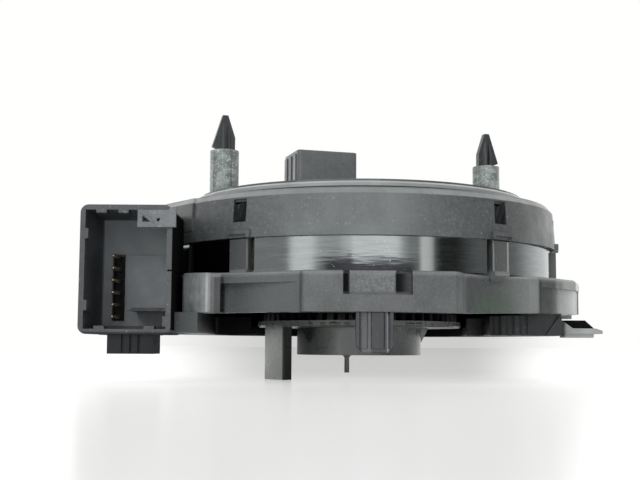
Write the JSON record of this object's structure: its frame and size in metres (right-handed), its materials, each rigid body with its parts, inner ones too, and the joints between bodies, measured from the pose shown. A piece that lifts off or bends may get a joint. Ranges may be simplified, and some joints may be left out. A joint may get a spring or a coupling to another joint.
{
  "type": "steering clock spring",
  "caption": "Flat round coupling for a steering column: a fixed drum with a side plug socket, and a rotor with drive posts, a plug block and a cancelling cam.",
  "frame": {"origin": "on the rotor axis, in the plane of the stator's underside", "axes": "+Z along the rotor axis towards the steering wheel, +X to the right of someone who faces the plug socket's mouth, +Y away from them"},
  "size_m": [0.1099, 0.0923, 0.0597],
  "materials": {
    "housing_plastic": "moulded satin black",
    "drum_plastic": "smooth semi-gloss black",
    "latch_plastic": "moulded satin black",
    "rotor_plastic": "moulded satin black",
    "post_plastic": "rough dark grey",
    "tip_plastic": "moulded satin black",
    "gear_plastic": "greased dark grey",
    "insert_plastic": "moulded dark grey",
    "terminal_metal": "tinned",
    "board": "solder mask",
    "chip": "moulded black",
    "liner_film": "slippery film",
    "cable_film": "flat laminated film",
    "magnet": "sintered"
  },
  "bodies": {
    "stator": {"base_plate": "housing_plastic", "cable_drum": "drum_plastic", "cover_ring": "housing_plastic", "connector_housing": "housing_plastic", "socket_latch": "latch_plastic", "socket_terminals": "terminal_metal", "terminal_block": "insert_plastic", "front_latch": "housing_plastic", "sensor_cover": "housing_plastic", "circuit_board": "board", "board_components": "chip", "lower_liner": "liner_film", "spiral_cable": "cable_film", "outer_cable_block": "insert_plastic"},
    "rotor": {"rotor_flange": "rotor_plastic", "upper_liner": "liner_film", "inner_cable_block": "insert_plastic", "rotor_connector": "rotor_plastic", "rotor_terminals": "terminal_metal", "cam_ring": "rotor_plastic", "sensor_gear": "gear_plastic", "post_sleeve_left": "post_plastic", "post_sleeve_right": "post_plastic", "post_tip_left": "tip_plastic", "post_tip_right": "tip_plastic"},
    "sensor_pinion_a": {"pinion_a": "gear_plastic", "magnet_a": "magnet"},
    "sensor_pinion_b": {"pinion_b": "gear_plastic", "magnet_b": "magnet"}
  },
  "joints": [
    {"name": "rotor_spin", "type": "hinge", "parent": "stator", "child": "rotor", "pos_m": [0, 0, 0], "axis": [0, 0, 1], "range_deg": [-900, 900]},
    {"name": "pinion_a_spin", "type": "hinge", "parent": "stator", "child": "sensor_pinion_a", "pos_m": [0.01446, 0.0272, 0.0033], "axis": [0, 0, 1], "range_deg": [-2300, 2300]},
    {"name": "pinion_b_spin", "type": "hinge", "parent": "stator", "child": "sensor_pinion_b", "pos_m": [-0.01408, 0.02649, 0.0033], "axis": [0, 0, 1], "range_deg": [-2500, 2500]}
  ],
  "couplings": [
    {"joint": "pinion_a_spin", "follows": "rotor_spin", "ratio": -2.5},
    {"joint": "pinion_b_spin", "follows": "rotor_spin", "ratio": -2.75}
  ]
}
